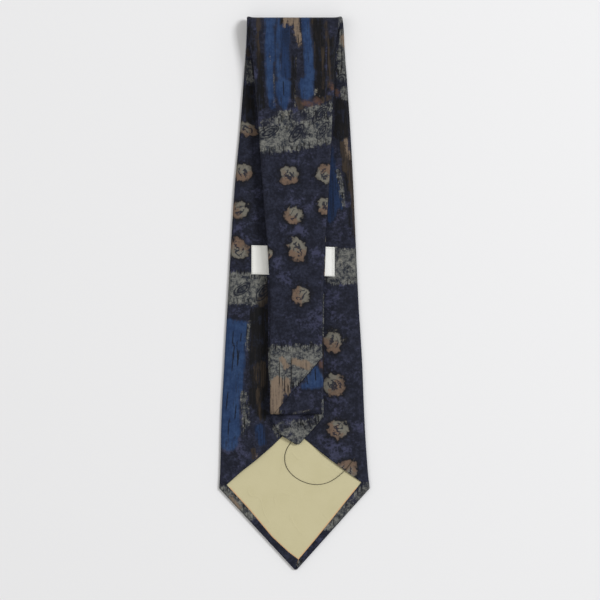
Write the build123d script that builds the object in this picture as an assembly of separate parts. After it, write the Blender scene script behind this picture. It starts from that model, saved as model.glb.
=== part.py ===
from build123d import *

import math
import os

# A necktie folded into a flat packet of four layers, lying with the back of its blade upwards.
# Millimetres. X runs across the tie, Y along it with the blade's point at -Y, Z up from the table.
# The layers, from the table upwards: blade, tail (threaded through the keeper), neck return, front.
# The cloth turns over at the top fold (blade to front), at the lower fold (front to return) and at
# the inner fold (return to tail), which nests inside the top fold.

# --- Cloth thicknesses -------------------------------------------------------------------------
SHELL = 0.4  # printed silk
INTERLINING = 1.6  # brushed wool canvas
TIPPING = 0.2  # lining of the points
LAYER = 2 * SHELL + INTERLINING + TIPPING
GAP = 0.3  # air between neighbouring layers
KEEPER = 0.4  # keeper ribbon
THREAD = 0.4  # sewing thread diameter
EASE = 0.1  # room between an inner piece and the shell's walls

# --- Plan dimensions ---------------------------------------------------------------------------
FOLDED_LENGTH = 375.0
BLADE_WIDTH = 102.0
BLADE_MIDDLE_WIDTH = 85.4  # half way up the blade, a little fuller than a straight taper
BLADE_POINT = 55.0  # height of the blade's point, from its corners to its tip
TOP_FOLD_WIDTH = 64.0
FRONT_MIDDLE_WIDTH = 46.0
NECK_WIDTH = 35.4
TAIL_POINT = 18.0
TAIL_TIP_Y = -102.0
TAIL_SHIFT = 0.8  # the tail lies a little to the right of the layers above it
LOWER_FOLD_Y = -81.6  # the lower fold's outermost point
NARROW_Y = -12.0  # where the front reaches the neck's width

# --- Levels ------------------------------------------------------------------------------------
BLADE_Z = 0.0
TAIL_Z = BLADE_Z + LAYER + GAP
KEEPER_Z = TAIL_Z + LAYER + GAP
RETURN_Z = KEEPER_Z + KEEPER + GAP
FRONT_Z = RETURN_Z + LAYER + GAP
STACK = FRONT_Z + LAYER

# The top and the inner fold are half rings about one line, which is also the hinge line.
HINGE_Z = STACK / 2
HINGE_Y = FOLDED_LENGTH / 2 - HINGE_Z
LOWER_FOLD_Z = (RETURN_Z + STACK) / 2
LOWER_FOLD_R = (STACK - RETURN_Z) / 2
LOWER_FOLD_CENTRE_Y = LOWER_FOLD_Y + LOWER_FOLD_R

TIP_Y = -FOLDED_LENGTH / 2
CORNER_Y = TIP_Y + BLADE_POINT
SIDE_MIDDLE_Y = (CORNER_Y + HINGE_Y) / 2
TAIL_CORNER_Y = TAIL_TIP_Y + TAIL_POINT

# --- Openings of the back seam over the lined points ----------------------------------------------
BLADE_V_APEX_Y = -90.8
BLADE_V_CORNER = (45.8, -128.3)
BLADE_LINING_TIP_Y = -180.5
TAIL_V_APEX_Y = -62.0
TAIL_V_CORNER = (14.4, -82.0)
TAIL_LINING_TIP_Y = -97.2
SLIT = 0.5  # the back seam's two folded edges stand this far apart, with the thread between them
TACK_LENGTH, TACK_WIDTH = 6.0, 1.4
TACK_STANDS_PROUD = 0.15

# --- Join between blade cloth and neck cloth, on the front layer ----------------------------------
JOIN_LOW = (-14.4, LOWER_FOLD_Y)
JOIN_HIGH = (18.4, -42.8)

# --- Keeper ribbon -------------------------------------------------------------------------------
KEEPER_Y, KEEPER_HEIGHT = 22.8, 20.0
KEEPER_LEFT, KEEPER_RIGHT = -29.6, 26.9
LEFT_TAB_END, LEFT_RISE_END = -24.0, -18.6
RIGHT_RISE_END, RIGHT_TAB_END = 20.2, 23.0

RUN_THROUGH = 1.0  # how far a cutting shape runs past the end that it opens


def outline(*edges):
    """A face symmetric about the Y axis, from the edges of its right half."""
    right = Curve() + list(edges)
    return make_face(right + mirror(right, Plane.YZ))


def slab(face, z, height):
    return Pos(0, 0, z) * extrude(face, height)


def blade_plan(inset=0.0, overrun=0.0):
    """The blade, point downwards, shrunk by inset and run past the hinge line by overrun."""
    half_point = math.atan2(BLADE_WIDTH / 2, BLADE_POINT)
    corner = (BLADE_WIDTH / 2 - inset, CORNER_Y + inset * math.tan(half_point / 2))
    end = (TOP_FOLD_WIDTH / 2 - inset, HINGE_Y)
    tip = (0, TIP_Y + inset / math.sin(half_point))
    edges = [
        Line(tip, corner),
        ThreePointArc(corner, (BLADE_MIDDLE_WIDTH / 2 - inset, SIDE_MIDDLE_Y), end),
    ]
    if overrun:
        edges.append(Line(end, (end[0], HINGE_Y + overrun)))
    edges.append(Line((end[0], HINGE_Y + overrun), (0, HINGE_Y + overrun)))
    return outline(*edges)


def front_plan(inset=0.0, overrun=0.0):
    """The front layer, from the top fold's full width down to the neck's width at the lower fold."""
    neck = NECK_WIDTH / 2 - inset
    top = TOP_FOLD_WIDTH / 2 - inset
    middle_y = (HINGE_Y + NARROW_Y) / 2
    edges = [
        Line((0, LOWER_FOLD_CENTRE_Y), (neck, LOWER_FOLD_CENTRE_Y)),
        Line((neck, LOWER_FOLD_CENTRE_Y), (neck, NARROW_Y)),
        ThreePointArc((neck, NARROW_Y), (FRONT_MIDDLE_WIDTH / 2 - inset, middle_y), (top, HINGE_Y)),
    ]
    if overrun:
        edges.append(Line((top, HINGE_Y), (top, HINGE_Y + overrun)))
    edges.append(Line((top, HINGE_Y + overrun), (0, HINGE_Y + overrun)))
    return outline(*edges)


def return_plan(inset=0.0, overrun=0.0):
    half = NECK_WIDTH / 2 - inset
    return outline(
        Line((0, LOWER_FOLD_CENTRE_Y), (half, LOWER_FOLD_CENTRE_Y)),
        Line((half, LOWER_FOLD_CENTRE_Y), (half, HINGE_Y + overrun)),
        Line((half, HINGE_Y + overrun), (0, HINGE_Y + overrun)),
    )


def tail_plan(inset=0.0, overrun=0.0):
    half_point = math.atan2(NECK_WIDTH / 2, TAIL_POINT)
    corner = (NECK_WIDTH / 2 - inset, TAIL_CORNER_Y + inset * math.tan(half_point / 2))
    return outline(
        Line((0, TAIL_TIP_Y + inset / math.sin(half_point)), corner),
        Line(corner, (corner[0], HINGE_Y + overrun)),
        Line((corner[0], HINGE_Y + overrun), (0, HINGE_Y + overrun)),
    )


def half_ring(centre_y, centre_z, inner, outer, width, side):
    """Half a ring about a line along X, on the +Y (side 1) or -Y (side -1) side of its centre."""
    ring = Circle(outer) - Circle(inner)
    keep = Pos(side * outer / 2, 0) * Rectangle(outer, 2 * outer)
    plane = Plane(origin=(-width / 2, centre_y, centre_z), x_dir=(0, 1, 0), z_dir=(1, 0, 0))
    return extrude(plane * (ring & keep), width)


def fold_shell(centre_y, centre_z, inner, width, side):
    """The shell's tube where it runs round a fold: two curved walls and two edges."""
    solid = half_ring(centre_y, centre_z, inner, inner + LAYER, width, side)
    hollow = half_ring(centre_y, centre_z, inner + SHELL, inner + LAYER - SHELL, width - 2 * SHELL, side)
    return solid - hollow


def band(low, high, z, height, width):
    """A straight strip along the centre line, from low to high in Y."""
    return Pos(0, (low + high) / 2, z + height / 2) * Box(width, high - low, height)


def run_of_thread(low, high, z):
    thread = Cylinder(THREAD / 2, high - low, align=(Align.CENTER, Align.CENTER, Align.MIN))
    return Pos(0, low, z) * (Rot(-90, 0, 0) * thread)


def kite(apex_y, corner, tip_y):
    return outline(Line((0, apex_y), corner), Line(corner, (0, tip_y)))


# --- Blade ---------------------------------------------------------------------------------------
def blade_shell():
    hollow = slab(blade_plan(SHELL, RUN_THROUGH), SHELL, LAYER - 2 * SHELL)
    back_z = LAYER - SHELL
    tube = slab(blade_plan(), BLADE_Z, LAYER) - hollow
    tube -= slab(kite(BLADE_V_APEX_Y, BLADE_V_CORNER, BLADE_LINING_TIP_Y), back_z, 2 * SHELL)
    tube -= band(BLADE_V_APEX_Y - RUN_THROUGH, HINGE_Y + RUN_THROUGH, back_z, 2 * SHELL, SLIT)
    return tube - tack(BLADE_V_APEX_Y, back_z, 2 * SHELL, EASE)


def tack(apex_y, z, height, ease=0.0):
    """A bar tack across the end of the back seam, or with ease the pocket that it sits in."""
    low = apex_y + TACK_WIDTH
    return band(low - ease / 2, low + TACK_WIDTH + ease / 2, z, height, TACK_LENGTH + ease)


def blade_interlining():
    return slab(blade_plan(SHELL + EASE), SHELL, INTERLINING)


def blade_tipping():
    covered = Pos(0, CORNER_Y - BLADE_POINT / 2) * Rectangle(2 * BLADE_WIDTH, BLADE_POINT)
    covered += kite(BLADE_V_APEX_Y + 14, (BLADE_WIDTH, CORNER_Y), CORNER_Y - 1)
    return slab(blade_plan(SHELL + EASE) & covered, SHELL + INTERLINING, TIPPING)


# --- Keeper --------------------------------------------------------------------------------------
def keeper_loop():
    """A ribbon sewn down at both ends, with the tail passing under its raised middle."""
    low, high = LAYER, KEEPER_Z
    under = [
        (KEEPER_LEFT, low),
        (LEFT_TAB_END, low),
        (LEFT_RISE_END, high),
        (RIGHT_RISE_END, high),
        (RIGHT_TAB_END, low),
        (KEEPER_RIGHT, low),
    ]
    over = [
        (KEEPER_LEFT, low + KEEPER),
        (LEFT_TAB_END - KEEPER / 2, low + KEEPER),
        (LEFT_RISE_END - KEEPER / 2, high + KEEPER),
        (RIGHT_RISE_END + KEEPER / 2, high + KEEPER),
        (RIGHT_TAB_END + KEEPER / 2, low + KEEPER),
        (KEEPER_RIGHT, low + KEEPER),
    ]
    start = KEEPER_Y + KEEPER_HEIGHT / 2
    section = Plane(origin=(0, start, 0), x_dir=(1, 0, 0), z_dir=(0, -1, 0))
    return extrude(section * make_face(Polyline(*under, *reversed(over), close=True)), KEEPER_HEIGHT)


def keeper_stitching():
    """Machine stitches down the middle of each sewn end."""
    pitch, length, count = 2.6, 1.8, 7
    stitch = Box(THREAD, length, THREAD / 2, align=(Align.CENTER, Align.CENTER, Align.MIN))
    stitch = fillet(stitch.edges().group_by(Axis.Z)[-1], THREAD / 5)
    rows = []
    for x in ((KEEPER_LEFT + LEFT_TAB_END) / 2, (KEEPER_RIGHT + RIGHT_TAB_END) / 2):
        for k in range(count):
            y = KEEPER_Y + (k - (count - 1) / 2) * pitch
            rows.append(Pos(x, y, LAYER + KEEPER) * stitch)
    return Compound(children=rows)


# --- Front, lower fold and return -------------------------------------------------------------------
def front_tube():
    """The shell from the top fold down the front, round the lower fold and back up the return."""
    inner = LOWER_FOLD_R - LAYER
    solid = slab(front_plan(), FRONT_Z, LAYER) + slab(return_plan(), RETURN_Z, LAYER)
    solid += half_ring(LOWER_FOLD_CENTRE_Y, LOWER_FOLD_Z, inner, LOWER_FOLD_R, NECK_WIDTH, -1)
    depth = LAYER - 2 * SHELL
    hollow = slab(front_plan(SHELL, RUN_THROUGH), FRONT_Z + SHELL, depth)
    hollow += slab(return_plan(SHELL, RUN_THROUGH), RETURN_Z + SHELL, depth)
    width = NECK_WIDTH - 2 * SHELL
    hollow += half_ring(LOWER_FOLD_CENTRE_Y, LOWER_FOLD_Z, inner + SHELL, inner + SHELL + depth, width, -1)
    slit_low = RETURN_Z + LAYER - SHELL
    seam = band(LOWER_FOLD_CENTRE_Y - inner - SHELL, HINGE_Y + RUN_THROUGH, slit_low, 2 * SHELL + GAP, SLIT)
    return solid - hollow - seam


def above_join():
    """Everything on the blade's side of the diagonal join, from the lower fold's middle upwards."""
    slope = (JOIN_HIGH[1] - JOIN_LOW[1]) / (JOIN_HIGH[0] - JOIN_LOW[0])
    reach, far = BLADE_WIDTH / 2, FOLDED_LENGTH
    left = (-reach, JOIN_LOW[1] + slope * (-reach - JOIN_LOW[0]))
    right = (reach, JOIN_LOW[1] + slope * (reach - JOIN_LOW[0]))
    face = make_face(Polyline(left, right, (reach, far), (-reach, far), close=True))
    return slab(face, LOWER_FOLD_Z, STACK)


def neck_interlining():
    inner = LOWER_FOLD_R - LAYER + SHELL + TIPPING
    canvas = slab(front_plan(SHELL + EASE), FRONT_Z + SHELL + TIPPING, INTERLINING)
    canvas += slab(return_plan(SHELL + EASE), RETURN_Z + SHELL, INTERLINING)
    width = NECK_WIDTH - 2 * (SHELL + EASE)
    ring = half_ring(LOWER_FOLD_CENTRE_Y, LOWER_FOLD_Z, inner, inner + INTERLINING, width, -1)
    return canvas + ring


def neck_seam_stitching():
    """The line of machine stitches that joins blade cloth to neck cloth, inside the tube."""
    low_x, high_x = -10.0, NECK_WIDTH / 2 - SHELL - 2 * EASE
    slope = (JOIN_HIGH[1] - JOIN_LOW[1]) / (JOIN_HIGH[0] - JOIN_LOW[0])
    angle = math.degrees(math.atan(slope))
    middle_x = (low_x + high_x) / 2
    middle_y = JOIN_LOW[1] + slope * (middle_x - JOIN_LOW[0])
    length = (high_x - low_x) / math.cos(math.radians(angle)) - 2 * THREAD
    bar = Box(length, 1.5 * THREAD, TIPPING / 2, align=(Align.CENTER, Align.CENTER, Align.MIN))
    return Pos(middle_x, middle_y, FRONT_Z + SHELL + TIPPING / 4) * (Rot(0, 0, angle) * bar)


def neck_slip_stitch():
    """The back seam's thread, once in the front layer and once in the return."""
    front = run_of_thread(LOWER_FOLD_CENTRE_Y, HINGE_Y, FRONT_Z + SHELL / 2)
    back = run_of_thread(LOWER_FOLD_CENTRE_Y, HINGE_Y, RETURN_Z + LAYER - SHELL / 2)
    return Compound(children=[front, back])


# --- Tail ----------------------------------------------------------------------------------------
def tail_shell():
    """The tail lies with its seam downwards, so its opening over the lining faces the blade."""
    hollow = slab(tail_plan(SHELL, RUN_THROUGH), TAIL_Z + SHELL, LAYER - 2 * SHELL)
    tube = slab(tail_plan(), TAIL_Z, LAYER) - hollow
    cut_z = TAIL_Z - SHELL
    tube -= slab(kite(TAIL_V_APEX_Y, TAIL_V_CORNER, TAIL_LINING_TIP_Y), cut_z, 2 * SHELL)
    tube -= band(TAIL_V_APEX_Y - RUN_THROUGH, HINGE_Y + RUN_THROUGH, cut_z, 2 * SHELL, SLIT)
    return aside(tube - tack(TAIL_V_APEX_Y, cut_z, 2 * SHELL, EASE))


def aside(shape):
    return Pos(TAIL_SHIFT, 0, 0) * shape


def tail_interlining():
    return aside(slab(tail_plan(SHELL + EASE), TAIL_Z + SHELL + TIPPING, INTERLINING))


def tail_tipping():
    covered = Pos(0, TAIL_V_APEX_Y - NECK_WIDTH / 2) * Rectangle(BLADE_WIDTH, 2 * NECK_WIDTH)
    return aside(slab(tail_plan(SHELL + EASE) & covered, TAIL_Z + SHELL, TIPPING))


# --- Loose end of the slip-stitch thread -------------------------------------------------------------
THREAD_ON_LINING = LAYER - SHELL + THREAD / 2 + 0.02
THREAD_ON_FLAP = LAYER + THREAD / 2 + 1.0  # the flap's edge curls up a little
THREAD_ROUTE = [
    (0.4, -92.2, THREAD_ON_LINING),
    (-1.4, -99.2, THREAD_ON_LINING),
    (-6.6, -106.4, THREAD_ON_LINING),
    (-7.3, -114.8, THREAD_ON_LINING),
    (-3.6, -121.8, THREAD_ON_LINING),
    (3.6, -127.2, THREAD_ON_LINING),
    (12.6, -130.0, THREAD_ON_LINING),
    (21.6, -129.0, THREAD_ON_LINING),
    (29.2, -124.4, THREAD_ON_FLAP),
    (35.6, -118.4, THREAD_ON_FLAP),
    (40.6, -111.6, THREAD_ON_FLAP),
]


def corner_radii(route):
    """For each corner of a route, the largest radius that both of its runs have room for."""
    radii = []
    for before, here, after in zip(route, route[1:], route[2:]):
        first = Vector(*here) - Vector(*before)
        second = Vector(*after) - Vector(*here)
        half_turn = math.radians(first.get_angle(second)) / 2
        radii.append(0.45 * min(first.length, second.length) / math.tan(half_turn))
    return radii


def loose_thread():
    radii = corner_radii(THREAD_ROUTE)
    path = FilletPolyline(*THREAD_ROUTE, radius=radii)
    tube = sweep((path ^ 0) * Circle(THREAD / 2), path=path)
    expected = math.pi * (THREAD / 2) ** 2 * path.length
    print("thread radii", [round(r, 1) for r in radii], "length", round(path.length, 2))
    print("thread volume", round(tube.volume, 3), "against", round(expected, 3))
    return tube


def write(name, shape):
    export_step(shape, os.path.join("parts", f"{name}.step"))


def main():
    os.makedirs("parts", exist_ok=True)
    back_z = LAYER - SHELL
    write("blade_shell", blade_shell())
    write("blade_interlining", blade_interlining())
    write("blade_tipping", blade_tipping())
    blade_seam = run_of_thread(BLADE_V_APEX_Y + 3 * TACK_WIDTH, HINGE_Y, back_z + SHELL / 2)
    write("blade_slip_stitch", blade_seam)
    write("blade_bar_tack", tack(BLADE_V_APEX_Y, back_z, SHELL + TACK_STANDS_PROUD))
    write("loose_thread", loose_thread())
    write("keeper_loop", keeper_loop())
    write("keeper_stitching", keeper_stitching())

    top_inner = HINGE_Z - LAYER
    canvas_r = top_inner + SHELL + TIPPING
    canvas_width = TOP_FOLD_WIDTH - 2 * (SHELL + EASE)
    write("top_fold_shell", fold_shell(HINGE_Y, HINGE_Z, top_inner, TOP_FOLD_WIDTH, 1))
    write(
        "top_fold_interlining",
        half_ring(HINGE_Y, HINGE_Z, canvas_r, canvas_r + INTERLINING, canvas_width, 1),
    )
    inner_inner = RETURN_Z - HINGE_Z
    inner_canvas_r = inner_inner + SHELL
    inner_width = NECK_WIDTH - 2 * (SHELL + EASE)
    write("inner_fold_shell", fold_shell(HINGE_Y, HINGE_Z, inner_inner, NECK_WIDTH, 1))
    write(
        "inner_fold_interlining",
        half_ring(HINGE_Y, HINGE_Z, inner_canvas_r, inner_canvas_r + INTERLINING, inner_width, 1),
    )

    tube, join = front_tube(), above_join()
    write("blade_shell_front", tube & join)
    write("neck_shell", tube - join)
    write("neck_interlining", neck_interlining())
    write("neck_seam_stitching", neck_seam_stitching())
    write("neck_slip_stitch", neck_slip_stitch())

    write("tail_shell", tail_shell())
    write("tail_interlining", tail_interlining())
    write("tail_tipping", tail_tipping())
    tail_seam = run_of_thread(TAIL_V_APEX_Y + 3 * TACK_WIDTH, HINGE_Y, TAIL_Z + SHELL / 2)
    write("tail_slip_stitch", aside(tail_seam))
    write("tail_bar_tack", aside(tack(TAIL_V_APEX_Y, TAIL_Z, SHELL)))


main()
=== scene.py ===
import math

import bpy
import numpy as np
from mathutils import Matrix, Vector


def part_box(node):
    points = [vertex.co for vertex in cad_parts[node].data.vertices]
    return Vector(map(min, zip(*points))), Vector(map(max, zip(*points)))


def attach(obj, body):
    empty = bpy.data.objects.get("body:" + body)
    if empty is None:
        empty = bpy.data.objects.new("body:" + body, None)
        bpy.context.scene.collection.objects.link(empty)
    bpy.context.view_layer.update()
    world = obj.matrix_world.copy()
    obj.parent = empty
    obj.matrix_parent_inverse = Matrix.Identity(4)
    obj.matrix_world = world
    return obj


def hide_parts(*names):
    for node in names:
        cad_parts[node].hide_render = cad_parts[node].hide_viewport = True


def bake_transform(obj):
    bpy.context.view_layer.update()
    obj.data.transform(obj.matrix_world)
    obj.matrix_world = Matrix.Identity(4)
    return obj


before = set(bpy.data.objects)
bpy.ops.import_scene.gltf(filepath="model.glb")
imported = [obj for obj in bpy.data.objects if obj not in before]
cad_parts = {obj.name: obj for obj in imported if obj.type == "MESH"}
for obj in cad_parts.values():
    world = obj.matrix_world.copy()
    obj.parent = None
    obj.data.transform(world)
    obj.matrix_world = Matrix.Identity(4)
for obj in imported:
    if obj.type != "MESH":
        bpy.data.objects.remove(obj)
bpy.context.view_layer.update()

# A folded necktie. The cloth is one long flattened tube that runs from the blade's point up to the
# top fold, over it and down the front, round the lower fold, up the return, round the inner fold
# and down the tail. Every layer of it is made from one side view, the folded path, and from two
# edges, left and right. A place along the tube is its station: the distance from the blade's point.
# Shapes are worked out in millimetres and turned into metres when a mesh is made.

MM = 0.001

# --- Sizes from the frame ------------------------------------------------------------------------


def box_mm(node):
    low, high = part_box(node)
    return low / MM, high / MM


blade_low, blade_high = box_mm("blade_shell")
_, front_high = box_mm("blade_shell_front")
neck_low, _ = box_mm("neck_shell")
tail_low, tail_high = box_mm("tail_shell")
keeper_low, keeper_high = box_mm("keeper_loop")

LAYER = blade_high.z
STACK = front_high.z
HINGE_Y, HINGE_Z = blade_high.y, STACK / 2
TIP_Y = blade_low.y
TAIL_TIP_Y = tail_low.y
LOWER_FOLD_R = (STACK - neck_low.z) / 2
LOWER_FOLD_CENTRE_Y = neck_low.y + LOWER_FOLD_R
HALF_LAYER = LAYER / 2

# --- Cloth ---------------------------------------------------------------------------------------
SILK = 0.3  # thickness of the printed cloth
ROW_PITCH = 1.6  # length of a cloth face along the tie
HEM_ROLL = 0.38  # radius of a turned-in edge
HEM_RETURN = 4.0  # cloth turned in behind such an edge
SEAM_HALF_GAP = 0.12


class FoldedPath:
    """The tie's middle surface seen from the side: straight runs joined by half turns."""

    def __init__(self, y, z):
        self.y, self.z, self.heading, self.length = y, z, 0.0, 0.0
        self.legs = []

    def run(self, length):
        self.legs.append((self.length, self.y, self.z, self.heading, 0.0))
        self.y += length * math.cos(self.heading)
        self.z += length * math.sin(self.heading)
        self.length += length
        return self.length

    def half_turn(self, radius, side):
        """Turns over, to the left (side 1) or the right (side -1) of the way it is going."""
        self.legs.append((self.length, self.y, self.z, self.heading, side / radius))
        self.y -= 2 * radius * side * math.sin(self.heading)
        self.z += 2 * radius * side * math.cos(self.heading)
        self.heading += side * math.pi
        self.length += math.pi * radius
        return self.length

    def at(self, station, depth):
        """(y, z) at a station, depth outwards from the middle surface towards the printed face."""
        y, z, heading = (np.zeros_like(station) for _ in range(3))
        for start, y0, z0, heading0, bend in self.legs:
            here = (station >= start) | (start == 0)
            along = station[here] - start
            turned = heading0 + bend * along
            if bend:
                y[here] = y0 + (np.sin(turned) - math.sin(heading0)) / bend
                z[here] = z0 - (np.cos(turned) - math.cos(heading0)) / bend
            else:
                y[here] = y0 + along * math.cos(heading0)
                z[here] = z0 + along * math.sin(heading0)
            heading[here] = turned
        return y + depth * np.sin(heading), z - depth * np.cos(heading)


path = FoldedPath(TIP_Y, HALF_LAYER)
TOP_FOLD = path.run(HINGE_Y - TIP_Y)
FRONT = path.half_turn(HINGE_Z - HALF_LAYER, 1)
LOWER_FOLD = path.run(HINGE_Y - LOWER_FOLD_CENTRE_Y)
RETURN = path.half_turn(LOWER_FOLD_R - HALF_LAYER, 1)
INNER_FOLD = path.run(HINGE_Y - LOWER_FOLD_CENTRE_Y)
TAIL = path.half_turn(neck_low.z + HALF_LAYER - HINGE_Z, -1)
TAIL_TIP = path.run(HINGE_Y - TAIL_TIP_Y)


def on_blade(y):
    return y - TIP_Y


def on_front(y):
    return FRONT + HINGE_Y - y


def on_return(y):
    return RETURN + y - LOWER_FOLD_CENTRE_Y


def on_tail(y):
    return TAIL + HINGE_Y - y


def smooth(points):
    """A curve through (place, value) points, with no overshoot between them."""
    place, value = np.array(sorted(points)).T
    slope = np.diff(value) / np.diff(place)
    product = slope[:-1] * slope[1:]
    inner = np.where(product > 0, 2 * product / np.where(product > 0, slope[:-1] + slope[1:], 1), 0)
    tangent = np.concatenate([slope[:1], inner, slope[-1:]])

    def curve(t):
        t = np.clip(t, place[0], place[-1])
        k = np.clip(np.searchsorted(place, t) - 1, 0, len(slope) - 1)
        step = place[k + 1] - place[k]
        u = (t - place[k]) / step
        rise = (1 - u) ** 2 * u * step * tangent[k] - (1 - u) * u**2 * step * tangent[k + 1]
        return value[k] + (3 - 2 * u) * u**2 * (value[k + 1] - value[k]) + rise

    return curve


def straight(points):
    """Straight lines through (place, value) points."""
    place, value = np.array(sorted(points)).T
    return lambda t: np.interp(t, place, value)


# --- Outline: where the left and the right edge of the tube run ------------------------------------
BLADE_CORNER = on_blade(-132.3)
LEFT_TAIL_CORNER, RIGHT_TAIL_CORNER = on_tail(-87.5), on_tail(-83.6)

left_side = smooth(
    [
        (BLADE_CORNER, -51.6),
        (on_blade(-120), -51.0),
        (on_blade(-86), -50.2),
        (on_blade(-45), -48.1),
        (on_blade(-4), -45.8),
        (on_blade(33), -43.7),
        (on_blade(71), -41.3),
        (on_blade(112), -37.5),
        (on_blade(146), -35.0),
        (on_blade(175), -33.1),
        (on_front(180), -32.4),
        (on_front(167), -30.3),
        (on_front(157), -28.4),
        (on_front(139), -27.0),
        (on_front(121), -25.2),
        (on_front(94), -23.4),
        (on_front(57), -20.8),
        (on_front(33), -18.8),
        (on_front(15), -17.7),
        (on_front(-6), -16.9),
        (on_front(-78), -17.0),
        (on_return(-78), -17.0),
        (on_return(-45), -15.9),
        (on_return(35), -15.7),
        (on_return(90), -17.0),
        (on_tail(170), -17.4),
        (on_tail(20), -18.5),
        (on_tail(-45), -18.3),
        (on_tail(-70), -16.6),
        (LEFT_TAIL_CORNER, -15.7),
    ]
)
right_side = smooth(
    [
        (BLADE_CORNER, 50.9),
        (on_blade(-120), 49.6),
        (on_blade(-86), 47.4),
        (on_blade(-45), 45.7),
        (on_blade(-4), 43.2),
        (on_blade(33), 41.5),
        (on_blade(71), 39.9),
        (on_blade(112), 37.7),
        (on_blade(146), 35.4),
        (on_blade(166), 33.9),
        (on_blade(180), 33.2),
        (on_front(186), 31.6),
        (on_front(178), 29.0),
        (on_front(170), 27.5),
        (on_front(157), 26.9),
        (on_front(139), 26.5),
        (on_front(121), 25.3),
        (on_front(94), 24.3),
        (on_front(52), 21.6),
        (on_front(30), 20.3),
        (on_front(-5), 19.1),
        (on_front(-54), 18.5),
        (on_front(-79), 19.3),
        (on_return(-60), 19.4),
        (on_return(-45), 19.5),
        (on_return(0), 19.8),
        (on_return(35), 20.9),
        (on_return(90), 18.6),
        (on_tail(170), 17.6),
        (on_tail(20), 17.0),
        (on_tail(-50), 17.6),
        (RIGHT_TAIL_CORNER, 19.4),
    ]
)
left_point = straight([(0, -0.4), (BLADE_CORNER, -51.6)])
right_point = straight([(0, 1.4), (BLADE_CORNER, 50.9)])
left_tail_point = straight([(LEFT_TAIL_CORNER, -15.7), (on_tail(-96.6), -8.8), (TAIL_TIP, 0.2)])
right_tail_point = straight([(RIGHT_TAIL_CORNER, 19.4), (TAIL_TIP, 3.2)])


def edges(station):
    left = np.where(station < BLADE_CORNER, left_point(station), left_side(station))
    left = np.where(station > LEFT_TAIL_CORNER, left_tail_point(station), left)
    right = np.where(station < BLADE_CORNER, right_point(station), right_side(station))
    right = np.where(station > RIGHT_TAIL_CORNER, right_tail_point(station), right)
    return left, right


# --- Opening of the back over the lined points -----------------------------------------------------
BLADE_APEX = on_blade(-90.8)
BLADE_LINING_TIP = on_blade(-180.5)
TAIL_APEX = on_tail(-62)
TAIL_LINING_TIP = on_tail(-97)

left_flap = straight(
    [
        (BLADE_LINING_TIP, 2.2),
        (on_blade(-175.6), -4.4),
        (on_blade(-165.2), -15.6),
        (on_blade(-146.1), -31.6),
        (on_blade(-129.8), -46.5),
        (on_blade(-120.4), -36.0),
        (on_blade(-113.8), -27.4),
        (on_blade(-103.6), -15.6),
        (on_blade(-96.6), -8.4),
        (BLADE_APEX, -2.6),
        (TOP_FOLD, 0.0),
        (TAIL_APEX, 0.8),
        (on_tail(-81.5), -13.2),
        (TAIL_LINING_TIP, 1.4),
    ]
)
right_flap = straight(
    [
        (BLADE_LINING_TIP, 2.5),
        (on_blade(-167.0), 13.9),
        (on_blade(-154.8), 23.8),
        (on_blade(-141.7), 34.2),
        (on_blade(-128.0), 45.3),
        (on_blade(-122.7), 37.6),
        (on_blade(-116.1), 28.6),
        (on_blade(-107.7), 17.6),
        (on_blade(-98.4), 6.4),
        (BLADE_APEX, -2.6),
        (TOP_FOLD, 0.0),
        (TAIL_APEX, 0.8),
        (on_tail(-80.5), 16.6),
        (TAIL_LINING_TIP, 1.9),
    ]
)

# --- Diagonal join of blade and neck cloth, as a station for each place across -----------------------
JOIN_RIGHT_X, JOIN_RIGHT = 18.4, on_front(-42.8)
JOIN_SLOPE = 1.17


def join(x):
    return JOIN_RIGHT + (JOIN_RIGHT_X - x) * JOIN_SLOPE


def ripple(x, station, pitch, seed):
    """A soft unevenness of about -1 to 1, the same each run."""
    draw = np.random.RandomState(seed)
    total = np.zeros_like(x)
    for _ in range(6):
        angle, phase = draw.uniform(0, 2 * math.pi, 2)
        wave = 2 * math.pi / (pitch * draw.uniform(0.7, 1.6))
        total += np.sin(wave * (x * math.cos(angle) + station * math.sin(angle)) + phase)
    return total / 3.2


# --- Meshes --------------------------------------------------------------------------------------
def grid_faces(rows, columns, closed=False):
    across = np.arange(columns if closed else columns - 1)
    row, column = np.meshgrid(np.arange(rows - 1), across, indexing="ij")
    a = row * columns + column
    b = row * columns + (column + 1) % columns
    return np.stack([a, b, b + columns, a + columns], -1).reshape(-1, 4)


def mesh_object(name, points, faces, material, smooth_shaded=True):
    mesh = bpy.data.meshes.new(name)
    mesh.from_pydata((points.reshape(-1, 3) * MM).tolist(), [], [list(f) for f in faces])
    if smooth_shaded:
        mesh.shade_smooth()
    mesh.validate()
    mesh.materials.append(material)
    made = bpy.data.objects.new(name, mesh)
    bpy.context.scene.collection.objects.link(made)
    return made


def attribute(piece, name, values):
    """Stores one number or three for each point of a piece."""
    values = np.asarray(values, np.float32)
    kind, key = ("FLOAT", "value") if values.ndim == 1 else ("FLOAT_VECTOR", "vector")
    stored = piece.data.attributes.new(name, kind, "POINT")
    stored.data.foreach_set(key, values.ravel())


def settled(piece):
    """Turns a piece's modifiers into a plain mesh."""
    bpy.context.view_layer.update()
    graph = bpy.context.evaluated_depsgraph_get()
    evaluated = piece.evaluated_get(graph)
    mesh = bpy.data.meshes.new_from_object(evaluated, preserve_all_data_layers=True, depsgraph=graph)
    if piece.type == "MESH":
        piece.modifiers.clear()
        old, piece.data = piece.data, mesh
        bpy.data.meshes.remove(old)
        return piece
    made = bpy.data.objects.new(piece.name, mesh)
    bpy.context.scene.collection.objects.link(made)
    name = piece.name
    bpy.data.objects.remove(piece)
    made.name = name
    return made


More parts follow.
